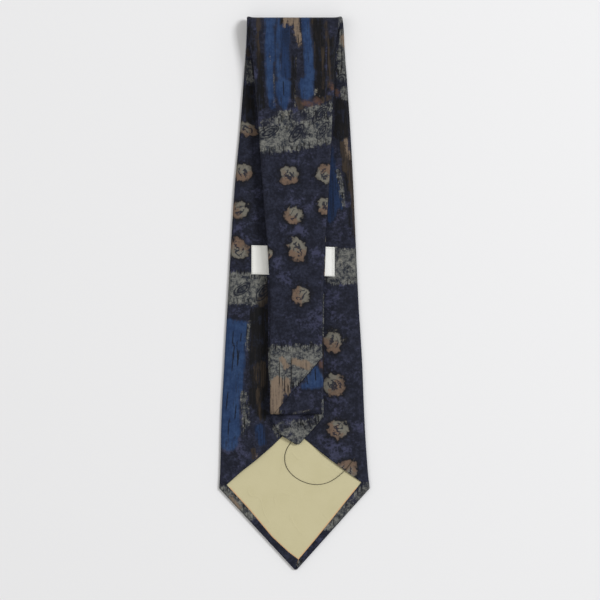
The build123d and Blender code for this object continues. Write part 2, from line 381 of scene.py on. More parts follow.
def thickened(piece, thickness):
    """Gives a cloth surface its thickness, inwards from the face that shows."""
    solid = piece.modifiers.new("thickness", "SOLIDIFY")
    solid.thickness = thickness * MM
    solid.offset = -1
    solid.use_even_offset = False
    return settled(piece)


def area_m2(width_at, start, end):
    """Area of cloth whose width is known along the tie, in square metres."""
    stations = np.linspace(start, end, 400)
    return float(np.trapz(width_at(stations), stations)) * MM * MM


# --- The wrapped tube of printed cloth ---------------------------------------------------------------
FLAP_COLUMNS, FRONT_COLUMNS, ROLL_STEPS, HEM_STEPS = 22, 30, 5, 4
# The share of the way round a rolled edge, and the share of the way across a face, of each column
HEM_TURNS = np.linspace(0.5, -0.5, HEM_STEPS + 1) * math.pi
EDGE_TURNS = np.linspace(-0.5, -1.5, ROLL_STEPS + 1) * math.pi


def cross_section(left, right, flap_left, flap_right, thick):
    """Columns round the tube at each row, from the left flap's turned-in edge to the right one's:
    place across, depth, and which face each column is on (-1 the seamed back, 1 the printed front)."""
    width = right - left
    roll = np.minimum(thick, 0.3 * width)
    hem = np.minimum(HEM_ROLL, 0.1 * width)
    back = np.linspace(0, 1, FLAP_COLUMNS + 1)[1:]
    front = np.linspace(0, 1, FRONT_COLUMNS + 1)[1:-1]
    across, depth, face = [], [], []

    def add(x, d, side):
        across.append(x)
        depth.append(d)
        face.append(np.full_like(x, side))

    def half_back(edge, flap, side, reverse):
        """One flap with its turned-in edge; side is -1 on the left and 1 on the right."""
        columns = []
        edge_x = edge - side * roll
        flap_x = flap + side * hem
        far = np.minimum(HEM_RETURN, 0.7 * np.abs(edge_x - flap_x))
        columns.append((flap_x + side * far, -thick + 2 * hem))
        for turn in HEM_TURNS:
            columns.append((flap_x - side * hem * math.cos(turn), -thick + hem * (1 + math.sin(turn))))
        for share in back:
            columns.append((flap_x + (edge_x - flap_x) * share, -thick))
        for x, d in reversed(columns) if reverse else columns:
            add(x, d + 0 * x, -1.0)

    half_back(left, flap_left, -1, False)
    for turn in EDGE_TURNS[1:]:
        add(left + roll + roll * math.cos(turn), thick * math.sin(turn), 0.0)
    for share in front:
        add(left + roll + (width - 2 * roll) * share, thick + 0 * left, 1.0)
    for turn in EDGE_TURNS[1:][::-1]:
        add(right - roll - roll * math.cos(turn), thick * math.sin(turn), 0.0)
    half_back(right, flap_right, 1, True)
    return np.stack(across, 1), np.stack(depth, 1), np.stack(face, 1)


# --- Print on the silk -----------------------------------------------------------------------------
# Brush strokes are tapered dabs (x, y, x, y, radius at the first end, radius at the second), each
# list a colour. Flowers and leaves are ovals (x, y, half length, half width, tilt in degrees) and
# ticks are fine pen strokes (x, y, x, y). All are places on the folded tie as it lies.
# A few dabs below are not print: one neck line is a painted highlight on a crease and one blade dab is painted
# shadow, each marked where it stands.
FRONT_PRINT = {
    "black": [
        (-23.5, 160.5, -23, 126.5, 2.4, 2.7), (-30.5, 181, -29, 166, 1.7, 1.4),
        (-13, 185, -12.5, 145.5, 0.6, 0.7), (-8, 183.5, -8, 166, 2.7, 2.7),
        (-1.5, 159, -1, 132, 1.7, 2), (4, 185, 4.5, 159, 0.7, 0.7), (11.5, 159, 11.5, 142, 1.4, 1.4),
        (15.5, 185, 17, 135.5, 4.1, 4.8), (24.5, 172.5, 25, 140, 2, 2),
    ],
    "blue": [
        (-17.5, 190.5, -16.5, 159, 3.3, 3.3), (-17.5, 159, -16.5, 133.5, 2.6, 2.1),
        (-11.8, 190.5, -10.8, 147, 1.2, 1.6), (-8, 141.5, -7.5, 130.5, 4.9, 4.1),
        (-7, 129, -7, 124.5, 3.1, 1), (7, 190.5, 8, 169.5, 2.7, 2.7), (9, 169.5, 10, 145.5, 3.3, 3.1),
        (7.5, 141.5, 7.5, 134.5, 5, 3.7), (9.5, 145.5, 11.5, 135.5, 2, 1.7),
    ],
    "deep": [
        (-16.5, 133.5, -15, 125, 2, 1.7), (-7, 179.5, -6, 148, 3.1, 3.3),
    ],
    "grey": [
        (-22, 104, 1.5, 106, 9.2, 9.2), (1.5, 106, 23, 111.5, 8.5, 9.5),
        (12, 123, 24, 126.5, 3.4, 2.7), (-11, 122, -3.5, 122.5, 1.5, 1.5),
        (3.5, 121, 11.5, 124, 2, 2.7), (-21, 116, -4, 118.5, 2.5, 4), (-4, 118.5, 12, 118.5, 4, 4),
        (32.5, 190, 31, 172, 2.6, 1.6),
        (-18, -46, 20, -43.5, 10.4, 9.5), (-14, -56, 3.5, -53, 9.5, 8.2),
    ],
    "tan": [
        (-6, 189, -7, 180, 1.9, 0.4), (-2.5, 189, -3, 183.5, 3.4, 1.7), (1, 189, 1.5, 175.5, 2, 1.6),
        (2, 175.5, 3.5, 166, 1.8, 0.8), (-9.5, -44, -5.5, -49, 1.7, 2),
        (-0.5, -45.5, 9, -48.5, 2.2, 2.7), (-12, -61, -13, -80, 5.1, 4.1),
        (-5.5, -58.5, -5, -66.5, 2, 1.4),
    ],
    "brown": [
        (-25, 189, -24.5, 178, 1.4, 1.2), (-25.5, 175.5, -24.5, 152, 1.2, 1.0),
        (23, 158, 24, 142, 0.9, 0.9), (21, 183.5, 22.5, 159, 1.1, 1.1),
        (11, 187.5, 11.5, 177, 1, 0.7), (13, 169.5, 13.5, 152.5, 0.6, 0.5),
        (18.5, 166, 19, 138.5, 0.6, 0.6), (22, 159, 22.5, 140, 0.7, 0.7),
        (1.5, 132, 4, 126.5, 1.7, 2.4), (19.5, 131, 23, 132.5, 1.7, 1.7),
    ],
    "pale": [
        (-17, 162, -14.5, 147, 0.4, 0.4), (-14.5, 147, -14, 126.5, 0.5, 0.6),
        (0.5, 160, 0.5, 126.5, 0.4, 0.7), (12.5, 138.5, 13.5, 134, 0.7, 0.5),
        (15, 138.5, 16.5, 133.5, 0.6, 0.4), (-10, 121, -3.5, 121.5, 0.7, 0.7),
    ],
    "rust": [
        (6, 129, 11, 128, 1.7, 1.4), (14.5, 131, 16.5, 129, 1.7, 1.4),
        (24.5, 141.5, 25.5, 138.5, 1.1, 1.1),
    ],
    "navy": [
        (-21, 119.5, -15.5, 122.5, 2.7, 2.7), (-19.5, 115.5, -15, 117.5, 2, 1.8),
        (0.5, 119.5, 6, 120.5, 3.4, 2.7), (1, 112, 7, 107, 2.4, 2.0), (7.5, 117.5, 11.5, 118.5, 1.4, 1.4),
    ],
}
FRONT_FLOWERS = [
    (-4, 80, 7.1, 6.8, 20), (20.5, 81, 6.8, 6.8, 160), (-1, 53, 6.8, 6.3, -20), (21, 59, 6.1, 6.5, 40),
    (1.5, 30, 6.8, 8.8, 15), (4, -0.5, 6.8, 6.8, -60), (-18.5, 27, 3.7, 4.1, 0),
]
FRONT_LEAVES = [
    (-17, 109.5, 7.5, 3.4, 28), (18, 122.5, 8.2, 2.7, 45), (19, 111, 6.8, 2.7, 58),
    (1.5, 109, 7.5, 3.1, 52), (-21, 95, 3.1, 1.4, 5),
]
FRONT_TICKS = [
    (-10.5, -45.5, -10.5, -62), (-7, -55, -7, -66.5), (-2.5, -42, -2.5, -63),
    (-14.5, -40.5, -13.5, -42), (1, 100, 1, 96.5), (-8, 144, -7.5, 133.5), (2, 175.5, 2.5, 168),
    (-4.5, -61, -4, -69.5), (5.5, -43.5, 6, -44),
]
NECK_PRINT_AND_PAINTED_HIGHLIGHT = {
    "blue": [
        (6, -62.5, 15, -59, 2, 4.8), (13.5, -51.5, 15, -58.5, 2.7, 4.4),
        (11, -58, 11.5, -61, 4.1, 3.1),
    ],
    "rust": [
        (17.5, -46, 18, -49, 0.9, 1.4),
    ],
    "grey": [
        (-13, -80, -9.5, -79, 1.4, 1.1), (19, -72, 19.5, -80, 0.5, 0.5),
    ],
    "pale": [
        # This pale line along the lower fold is not print: it is a painted highlight on a crease in the cloth.
        (-2.5, -80.2, 10, -78.4, 0.35, 0.35),
    ],
    "tan": [
        (-13, -72, -12, -81, 2, 2),
    ],
}
NECK_TICKS = [
    (8, -56, 8.5, -61), (13.5, -50.5, 14, -58.5),
]
TAIL_PRINT = {
    "grey": [
        (-7, -94.5, 11.5, -92.5, 7.8, 7.5), (2, -96.5, 2, -100.5, 5.4, 5.4),
        (15.5, -84.5, 19, -83, 3.4, 2),
    ],
    "navy": [
        (-9, -90, -4, -88, 2.5, 2.0), (-6, -97, -3, -95, 1.2, 1.2), (9, -88, 14, -86, 1.6, 1.2),
        (1, -99, 1.5, -99.5, 1.2, 1.0),
    ],
}
TAIL_TICKS = [
    (-3.5, -88.5, -2.5, -91), (2, -87, 2, -90.5), (5.5, -88.5, 7, -92), (9.5, -87, 11, -90.5),
    (13.5, -85.5, 14.5, -88.5), (1, -98.5, 1.5, -99.5), (-7, -88.5, -6.5, -91),
]
BLADE_PRINT_AND_PAINTED_SHADOW = {
    "grey": [
        (-32, 156.5, -30.5, 145.5, 2.4, 2.4), (-44, 4, -25, 3.5, 11.2, 10.5),
        (-31, -19, -33, -38, 0.7, 0.7), (-35, -68, -33.5, -88.5, 1.8, 1.9),
        (-35, -90, -35.5, -98, 0.7, 0.5), (-13.5, -90, -11.5, -96, 1.5, 1.4),
        (32, 182, 32.5, 166, 1.7, 2.4), (31.5, 166, 32, 148, 2.7, 3.4),
        (33.5, 138.5, 34.5, 134, 2.4, 2.4), (29, 83.5, 31.5, 70.5, 1.1, 1.5),
        (31.5, 70.5, 33.5, 60.5, 1.5, 0.8), (29, 18.5, 40, 19, 12.2, 11.9),
        (-48.5, -133.5, -31.5, -150.5, 3.7, 3.7), (48.5, -132, 35.5, -145.5, 3.4, 3.4),
        (34.5, -145.5, 22.5, -158, 3.4, 3.4), (2, -183.5, 3.5, -183, 1.6, 1.6),
    ],
    "tan": [
        (32.5, 175.5, 33.5, 168.5, 1, 1), (34.5, 104.5, 36.5, 92.5, 1.1, 1.2),
        (-43.5, -138.5, -37.5, -145.5, 1.1, 1), (-26, -109.5, -26, -111, 0.7, 0.7),
    ],
    "brown": [
        (-32.5, 166, -31.5, 162, 1.4, 1.4), (-22.5, -5, -17.5, 5, 3.7, 3.4),
        (-26.5, -48.5, -27, -60, 1.5, 1.4), (-22, -47.5, -22.5, -62, 2.3, 1.9),
        (-25, -65.5, -23, -86.5, 1.6, 1.1), (-28.5, -106, -28, -111.5, 1.6, 1.4),
        (33.5, 102.5, 34.5, 85.5, 2.3, 2.9), (36.5, 95, 39.5, 62, 1.9, 1.5),
        (39.5, 62, 41.5, 36, 1.3, 0.7),
    ],
    "black": [
        (-32, 138.5, -31.5, 121, 3.7, 4.1), (-24, -15, -25, -72, 6.8, 6.8),
        (32.5, 100, 36.5, 64, 1.3, 1.1), (37, 64, 39.5, 38, 1, 0.8),
        (-22.5, -72, -22.5, -81.5, 4.8, 4.1), (32, 130, 32, 109.5, 5.4, 5.4),
        # The last black dab lies almost wholly under the front leaf. The thin strip of it that shows beside that
        # leaf's right edge is painted shadow.
        (24.5, 183.5, 26.5, 132, 2, 2),
    ],
    "blue": [
        (-45.5, -21, -35.5, -22, 4.1, 3.7), (-41.5, -26, -43, -64, 8.5, 7.8),
        (-45, -66.5, -45, -100, 7.5, 6.5), (-41, -72, -40, -95, 3.4, 2.7),
    ],
    "deep": [
        (24.5, 99.5, 25, 84.5, 1.2, 2.9), (25.5, 84.5, 28, 62.5, 3.1, 4.8),
        (26, 60.5, 24, 50.5, 4.1, 2.4), (30.5, 62.5, 31.5, 58.5, 1.7, 1),
        (-24.5, -91, -22.5, -100.5, 3.1, 2.7),
    ],
    "rust": [
        (28.5, 138, 29, 135.5, 1.2, 1.2),
    ],
    "pale": [
        (30.5, 24.5, 31.5, 19, 1, 1),
    ],
    "navy": [
        (37.5, -138.5, 43, -143, 1.8, 1.8),
    ],
}
BLADE_FLOWERS = [
    (-32.5, 112, 4.8, 8.2, 60), (-35.5, 82.5, 6.5, 7.1, 30), (-38, 57, 6.5, 6.8, -40),
    (-38.5, 30.5, 7.1, 8.2, 200), (26, -32.5, 7.5, 7.8, 10), (26.5, -62, 8.2, 8.2, 80),
    (29, -92, 7.8, 7.1, -30), (35, -119.5, 8.2, 6.8, 190),
]
BLADE_LEAVES = [
    (-35.5, 3.5, 6.8, 3.1, 35), (-21, 2, 7.5, 3.4, 50), (31.5, 145.5, 5.1, 3.4, 60),
    (40, 10.5, 2.4, 1.2, 20), (28.5, 10, 2, 1.4, 60),
]
BLADE_TICKS = [
    (-42, -25, -42.5, -34.5), (-36.5, -26.5, -37, -32.5), (-41, -34, -43, -53), (-38, -38, -39, -49),
    (-45.5, -66.5, -47, -79), (-40, -75, -41, -85.5), (-45, -85.5, -45.5, -96.5), (36, 18.5, 36, 17),
    (37.5, 9, 38, 7),
]

DAB_CHANNELS = (("black", "blue", "deep"), ("grey", "tan", "brown"), ("pale", "rust", "navy"))
FAR = 40.0
FAR_OUT = 3.0
TICK_HALF_WIDTH = 0.42
FRONT_REPEAT = 262.0  # the print comes again this far along the cloth


def dab_distance(x, y, dabs):
    """Distance from the nearest dab's edge, less than nothing inside it."""
    nearest = np.full(x.shape, FAR)
    for x0, y0, x1, y1, r0, r1 in dabs:
        run_x, run_y = x1 - x0, y1 - y0
        length = max(run_x**2 + run_y**2, 1e-6)
        t = np.clip(((x - x0) * run_x + (y - y0) * run_y) / length, 0, 1)
        gone = np.hypot(x - x0 - t * run_x, y - y0 - t * run_y)
        nearest = np.minimum(nearest, gone - r0 - t * (r1 - r0))
    return nearest


def turned(x, y, x0, y0, angle):
    """Place along and across a direction, from a centre."""
    along = (x - x0) * math.cos(angle) + (y - y0) * math.sin(angle)
    return along, (y - y0) * math.cos(angle) - (x - x0) * math.sin(angle)


def nearest_place(x, candidates):
    """The nearest candidate's three values, the last of them being how far off it is."""
    place = np.full(x.shape + (3,), FAR_OUT)
    for values in candidates:
        nearer = values[2] < place[..., 2]
        for k in range(3):
            place[..., k][nearer] = values[k][nearer]
    return place


def oval_places(x, y, ovals):
    """Place in the nearest oval in shares of its half length and width, and how far out that is."""
    candidates = []
    for x0, y0, a, b, tilt in ovals:
        along, across = turned(x, y, x0, y0, math.radians(tilt))
        candidates.append((along / a, across / b, np.hypot(along / a, across / b)))
    return nearest_place(x, candidates)


def tick_places(x, y, ticks):
    """Share of the way along the nearest tick, place across it in half widths, and distance."""
    candidates = []
    for x0, y0, x1, y1 in ticks:
        along, across = turned(x, y, (x0 + x1) / 2, (y0 + y1) / 2, math.atan2(y1 - y0, x1 - x0))
        half = math.hypot(x1 - x0, y1 - y0) / 2
        gone = np.hypot(np.maximum(np.abs(along) - half, 0), across)
        candidates.append((along / half, across / TICK_HALF_WIDTH, gone))
    return nearest_place(x, candidates)


class Design:
    """One area of the print; the neck's area also holds a painted highlight and the blade's a painted shadow."""

    def __init__(self, dabs, flowers=(), leaves=(), ticks=()):
        self.dabs, self.flowers, self.leaves, self.ticks = dabs, flowers, leaves, ticks

    def fields(self, x, y):
        found = {}
        for number, channels in enumerate(DAB_CHANNELS):
            columns = [dab_distance(x, y, self.dabs.get(c, ())) for c in channels]
            found[f"dabs_{number}"] = np.stack(columns, -1)
        found["flower"] = oval_places(x, y, self.flowers)
        found["leaf"] = oval_places(x, y, self.leaves)
        found["tick"] = tick_places(x, y, self.ticks)
        return found


front_design = Design(FRONT_PRINT, FRONT_FLOWERS, FRONT_LEAVES, FRONT_TICKS)
blade_design = Design(BLADE_PRINT_AND_PAINTED_SHADOW, BLADE_FLOWERS, BLADE_LEAVES, BLADE_TICKS)
neck_design = Design(NECK_PRINT_AND_PAINTED_HIGHLIGHT, ticks=NECK_TICKS)
tail_design = Design(TAIL_PRINT, ticks=TAIL_TICKS)


# --- Shaders -------------------------------------------------------------------------------------
def srgb(red, green, blue):
    """A colour given as it looks, from 0 to 255, in the linear values that shaders use."""
    linear = [c / 3294.6 if c <= 10.3 else ((c / 255 + 0.055) / 1.055) ** 2.4 for c in (red, green, blue)]
    return (*linear, 1.0)


class Wire:
    """A shader socket; arithmetic on it adds Math nodes."""

    def __init__(self, paint, socket):
        self.paint, self.socket = paint, socket

    def math(self, operation, *values):
        return self.paint.node("Math", {"operation": operation}, dict(enumerate(values)))

    def __add__(self, other):
        return self.math("ADD", self, other)

    def __sub__(self, other):
        return self.math("SUBTRACT", self, other)

    def __rsub__(self, other):
        return self.math("SUBTRACT", other, self)

    def __mul__(self, other):
        return self.math("MULTIPLY", self, other)

    def __truediv__(self, other):
        return self.math("DIVIDE", self, other)

    __radd__, __rmul__ = __add__, __mul__

    def most(self, other):
        return self.math("MAXIMUM", self, other)

    def wave(self):
        return self.math("SINE", self)

    def size(self):
        return self.math("ABSOLUTE", self)

    def rise(self, low, high):
        """0 below low and 1 above high, or the other way round, with a soft step between."""
        settings = {"interpolation_type": "SMOOTHSTEP"}
        values = {"Value": self, "From Min": min(low, high), "From Max": max(low, high)}
        step = self.paint.node("MapRange", settings, values)
        return step if low < high else 1 - step


class Paint:
    """A material whose nodes are made by expressions."""

    def __init__(self, name, look):
        self.material = bpy.data.materials.new(name)
        self.material.use_nodes = True
        self.tree = self.material.node_tree
        self.shader = self.tree.nodes["Principled BSDF"]
        for socket, value in look.items():
            self.shader.inputs[socket].default_value = value

    def node(self, kind, settings=None, sockets=None, output=0):
        made = self.tree.nodes.new("ShaderNode" + kind)
        for key, value in (settings or {}).items():
            if key == "stops":
                self.stops(made.color_ramp, value)
            else:
                setattr(made, key, value)
        for key, value in (sockets or {}).items():
            if isinstance(value, Wire):
                self.tree.links.new(value.socket, made.inputs[key])
            else:
                made.inputs[key].default_value = value
        return Wire(self, made.outputs[output])

    def mix(self, first, second, share):
        """Colour first where share is 0 and second where it is 1."""
        return self.node("Mix", {"data_type": "RGBA"}, {0: share, 6: first, 7: second}, 2)

    def attribute(self, name):
        """A stored vector."""
        return self.node("Attribute", {"attribute_name": name}, output=1)

    def parts(self, vector):
        split = self.node("SeparateXYZ", None, {0: vector})
        return [Wire(self, o) for o in split.socket.node.outputs]

    def scaled(self, vector, x, y, z=1.0):
        return self.node("VectorMath", {"operation": "MULTIPLY"}, {0: vector, 1: (x, y, z)})

    def moved(self, vector, x, y, z=0.0):
        return self.node("VectorMath", {"operation": "ADD"}, {0: vector, 1: (x, y, z)})

    def noise(self, vector, scale, detail=2.0, rough=0.5):
        """Noise about 0, from -0.5 to 0.5."""
        sockets = {"Vector": vector, "Scale": scale, "Detail": detail, "Roughness": rough}
        return self.node("TexNoise", None, sockets) - 0.5

    def join(self, name, wire):
        self.tree.links.new(wire.socket, self.shader.inputs[name])

    def bumps(self, *heights):
        """Bump nodes one after another, from (height, strength, distance in millimetres)."""
        normal = None
        for height, strength, distance in heights:
            sockets = {"Height": height, "Strength": strength, "Distance": distance * MM}
            if normal:
                sockets["Normal"] = normal
            normal = self.node("Bump", None, sockets)
        self.join("Normal", normal)


NAVY, NAVY_LIGHT, VIOLET = srgb(21, 23, 34), srgb(45, 48, 64), srgb(62, 64, 88)
BLACK, BLACK_WARM, BLACK_COOL = srgb(13, 13, 15), srgb(30, 26, 24), srgb(27, 30, 42)
BLUE, BLUE_LIGHT, BLUE_DARK = srgb(29, 48, 81), srgb(46, 68, 103), srgb(20, 30, 50)
GREY, GREY_LIGHT = srgb(34, 38, 47), srgb(120, 120, 114)
TAN, TAN_DARK, BROWN = srgb(124, 108, 92), srgb(78, 67, 60), srgb(58, 49, 40)
RUST, PALE = srgb(92, 68, 58), srgb(140, 136, 124)
PETAL_GREY, PETAL_TAN, PETAL_DARK = srgb(108, 105, 96), srgb(104, 86, 73), srgb(48, 43, 42)
TWILL_PITCH = 0.42


def twill(paint, cloth):
    """The diagonal ribs of the weave and the small bumps of single yarns."""
    across, along, _ = paint.parts(cloth)
    turn = 2 * math.pi / TWILL_PITCH
    rib = ((across + along) * turn).wave()
    yarn = ((across - along) * (turn * 0.5)).wave()
    return rib + yarn * 0.4


def printed_silk():
    paint = Paint("printed silk", {"Roughness": 0.55, "Specular IOR Level": 0.1})
    cloth = paint.attribute("cloth")
    grain = paint.noise(cloth, 0.55, 5.0, 0.75)
    stipple = paint.noise(paint.moved(cloth, 13, 5), 0.42, 6.0, 0.85)
    cloud = paint.noise(cloth, 0.15, 5.0, 0.65)
    patch = paint.noise(paint.moved(cloth, 40, 7), 0.06, 3.0, 0.6)
    brush = paint.noise(paint.scaled(cloth, 1.0, 0.12), 0.55, 4.0, 0.7)
    dry = paint.noise(paint.scaled(cloth, 1.0, 0.05), 0.85, 4.0, 0.75)
    black, blue, deep = paint.parts(paint.attribute("dabs_0"))
    grey, tan, brown = paint.parts(paint.attribute("dabs_1"))
    pale, rust, navy = paint.parts(paint.attribute("dabs_2"))

    def stroke(field, ragged, streaky, edge=0.4):
        return (field + grain * ragged + brush * streaky).rise(edge, -edge)

    ground = paint.mix(NAVY, NAVY_LIGHT, (grain * 1.3 + cloud * 1.0).rise(-0.18, 0.3) * 0.85)
    ground = paint.mix(ground, VIOLET, (patch * 1.5 + cloud + grain * 0.9).rise(0.06, 0.36) * 0.7)
    black_tone = paint.mix(BLACK, BLACK_WARM, dry.rise(0.02, 0.14))
    black_tone = paint.mix(black_tone, BLACK_COOL, (brush + cloud).rise(0.0, 0.2))
    # Black strokes are print, except one blade dab whose strip beside the front leaf's right edge is painted
    # shadow.
    colour = paint.mix(ground, black_tone, stroke(black, 3.0, 9.0, 1.2) * 0.95)
    deep_tone = paint.mix(BLUE_DARK, BLUE, (dry + grain * 0.5).rise(-0.16, 0.12))
    colour = paint.mix(colour, deep_tone, stroke(deep, 2.5, 6.0, 0.9) * 0.92)
    blue_tone = paint.mix(BLUE, BLUE_LIGHT, (cloud + dry * 0.8 + grain * 0.6).rise(-0.2, 0.25))
    blue_tone = paint.mix(blue_tone, BLUE_DARK, (dry * 1.2 - grain * 0.4).rise(0.04, 0.2) * 0.6)
    blue_tone = paint.mix(blue_tone, BLACK_COOL, (dry + brush * 0.4).rise(0.085, 0.15) * 0.85)
    colour = paint.mix(colour, blue_tone, stroke(blue, 4.0, 4.5, 1.1) * 0.96)
    grey_tone = paint.mix(GREY, GREY_LIGHT, (stipple + cloud * 0.5).rise(-0.12, 0.15))
    colour = paint.mix(colour, grey_tone, stroke(grey, 7.0, 9.0, 0.5) * 0.96)
    hatch = paint.noise(paint.scaled(paint.moved(cloth, 3, 0), 1.0, 0.11), 0.95, 2.0, 0.5)
    colour = paint.mix(colour, BLACK, hatch.rise(0.05, 0.11) * (grey + 1.2).size().rise(3.6, 1.6) * 0.9)
    brown_tone = paint.mix(BROWN, BLACK, dry.rise(-0.04, 0.08) * 0.85)
    colour = paint.mix(colour, brown_tone, stroke(brown, 2.0, 5.0, 0.7) * 0.85)
    tan_tone = paint.mix(TAN, TAN_DARK, (dry + stipple * 0.6).rise(-0.04, 0.16) * 0.85)
    colour = paint.mix(colour, tan_tone, stroke(tan, 4.0, 6.0, 0.7) * 0.9)
    colour = paint.mix(colour, RUST, stroke(rust, 6.0, 2.0, 1.2) * 0.65)
    # Pale strokes are print, except the line along the lower fold, which is a painted highlight on a crease.
    colour = paint.mix(colour, PALE, stroke(pale, 2.5, 0.5, 0.4) * (stipple + grain * 0.6).rise(-0.03, 0.05) * 0.7)
    colour = paint.mix(colour, ground, stroke(navy, 12.0, 8.0, 0.9) * 0.9)

    colour = with_leaves(paint, colour, grain)
    colour = with_flowers(paint, colour, grain, stipple, cloud)
    length, width, off = paint.parts(paint.attribute("tick"))
    tick = length.size().rise(1.15, 0.7) * (width + grain * 2.0).size().rise(1.3, 0.4)
    colour = paint.mix(colour, BLACK, tick * off.rise(1.8, 1.2) * 0.85)
    paint.join("Base Color", colour)
    weave = twill(paint, cloth)
    paint.join("Roughness", 0.55 + cloud * 0.15 + weave * 0.015)
    paint.bumps((grain + cloud, 0.3, 0.4), (weave, 0.3, 0.05))
    return paint.material


def with_leaves(paint, colour, grain):
    """Leaves: pen scribbles going round a slim oval, dark over a paler inside."""
    along, across, reach = paint.parts(paint.attribute("leaf"))
    wander = paint.noise(paint.moved(paint.attribute("cloth"), 11, 31), 0.2, 2.0, 0.5)
    rings = (reach * 15.0 + wander * 9.0 + along * 2.0).wave()
    inside = (reach + wander * 0.5).rise(1.2, 1.05)
    colour = paint.mix(colour, GREY, (reach + grain).rise(1.1, 0.5) * 0.4)
    return paint.mix(colour, NAVY, inside * (rings + grain * 2.0).rise(-0.1, 0.45) * 0.9)


def with_flowers(paint, colour, grain, stipple, cloud):
    """Flowers: ragged patches, part grey and part tan, dark edged, with a scribble in the middle."""
    across, along, reach = paint.parts(paint.attribute("flower"))
    lobes = paint.noise(paint.moved(paint.attribute("cloth"), 5, 50), 0.24, 2.0, 0.6)
    edge = reach + lobes * 1.25 + grain * 0.16
    half = (across * 0.35 + along * 0.7 + lobes * 1.5 + grain).rise(-0.25, 0.25)
    tone = paint.mix(PETAL_TAN, PETAL_GREY, half)
    tone = paint.mix(tone, PETAL_DARK, (stipple + cloud * 0.6).rise(0.0, 0.2) * 0.6)
    tone = paint.mix(tone, PALE, (stipple * 1.2 - grain).rise(0.08, 0.3) * 0.35)
    tone = paint.mix(tone, PETAL_DARK, edge.rise(0.68, 0.92) * 0.6)
    colour = paint.mix(colour, BLACK, edge.rise(1.45, 0.9) * 0.75)
    colour = paint.mix(colour, tone, edge.rise(0.97, 0.85))
    wander = paint.noise(paint.moved(paint.attribute("cloth"), 90, 20), 0.22, 2.0, 0.5)
    pen = ((across * 5.0 + wander * 17.0).wave()).rise(0.35, 0.8)
    cross = ((along * 4.0 - across * 3.0 + wander * 20.0).wave()).rise(0.5, 0.9)
    core = (across * across * 4.5 + along * along * 2.4 + wander * 2.0).rise(1.1, 0.7)
    return paint.mix(colour, BLACK_COOL, core * pen.most(cross) * 0.9)


def plain_cloth(name, tone, shade, pitch, look, mottle=0.5, rim=None):
    """A plain woven cloth: two tones, mottled, with ribs both ways, and, when given a colour for it, a painted
    highlight: a thin line just inside the edge where it is turned in, standing in for that edge catching the
    light.
    """
    paint = Paint(name, look)
    cloth = paint.scaled(paint.node("TexCoord", output=3), 1 / MM, 1 / MM, 1 / MM)
    across, along, _ = paint.parts(cloth)
    soft = paint.noise(cloth, 0.06, 4.0, 0.6)
    fine = paint.noise(cloth, 1.1, 3.0, 0.6)
    turn = 2 * math.pi / pitch
    weave = (across * turn).wave() + (along * turn).wave()
    colour = paint.mix(tone, shade, (soft * 1.5 + fine * 0.35 + weave * 0.02).rise(-0.25, 0.5) * mottle)
    bumps = [(fine, 0.25, 0.15), (weave, 0.3, 0.04)]
    if rim:
        # Painted highlight: a thin tan line just inside the turned-in edge, where that edge catches the light.
        inwards = paint.node("Attribute", {"attribute_name": "rim"}, output=2)
        colour = paint.mix(colour, rim, (inwards + fine * 0.6).rise(1.0, 0.45) * 0.8)
        crease = paint.noise(paint.scaled(cloth, 1.0, 0.6), 0.045, 1.0, 0.4).size().rise(0.012, 0.002)
        bumps.append((crease * (soft * 2.0).rise(-0.1, 0.2), 0.35, 0.25))
    paint.join("Base Color", colour)
    paint.join("Roughness", look["Roughness"] + fine * 0.1)
    paint.bumps(*bumps)
    return paint.material


def twisted_thread(name, tone, shade):
    paint = Paint(name, {"Roughness": 0.6, "Specular IOR Level": 0.3})
    place = paint.scaled(paint.node("TexCoord", output=3), 1 / MM, 1 / MM, 1 / MM)
    across, along, up = paint.parts(place)
    twist = ((across + along + up) * 9.0).wave()
    paint.join("Base Color", paint.mix(tone, shade, twist.rise(-1.0, 1.0)))
    paint.bumps((twist, 0.5, 0.05))
    return paint.material


SILK_CLOTH = printed_silk()
# The lining's last colour is the painted highlight along the turned-in edges of the blade point's lower hems.
LINING_CLOTH = plain_cloth("lining", srgb(193, 185, 149), srgb(184, 176, 138), 0.34,
                           {"Roughness": 0.55, "Specular IOR Level": 0.15}, 0.5, srgb(206, 164, 122))
RIBBON = plain_cloth("keeper ribbon", srgb(229, 229, 225), srgb(219, 218, 209), 0.5,
                     {"Roughness": 0.45, "Specular IOR Level": 0.2}, 0.3)
CANVAS = plain_cloth("interlining", srgb(214, 208, 192), srgb(192, 182, 162), 0.9,
                     {"Roughness": 0.85, "Specular IOR Level": 0.15, "Sheen Weight": 0.2}, 0.8)
DARK_THREAD = twisted_thread("dark thread", srgb(34, 33, 38), srgb(20, 20, 24))
LOOSE_THREAD = twisted_thread("loose thread", srgb(66, 60, 46), srgb(48, 43, 33))
WHITE_THREAD = twisted_thread("white thread", srgb(226, 225, 218), srgb(190, 188, 178))


# --- Pieces of printed cloth -----------------------------------------------------------------------
RIPPLE_HIDDEN, RIPPLE_SEEN = 0.06, 0.22
FLAP_LIFT = 1.1
COVER_HALF_WIDTH = 21.0  # what lies on the blade's back reaches about this far each side


def half_thickness(station):
    """The layers are rounded off in side view at both points of the tie."""
    gone = np.minimum(station, TAIL_TIP - station).clip(0, HALF_LAYER) / HALF_LAYER
    return np.maximum(HALF_LAYER * np.sqrt(1 - (1 - gone) ** 2), 0.12)


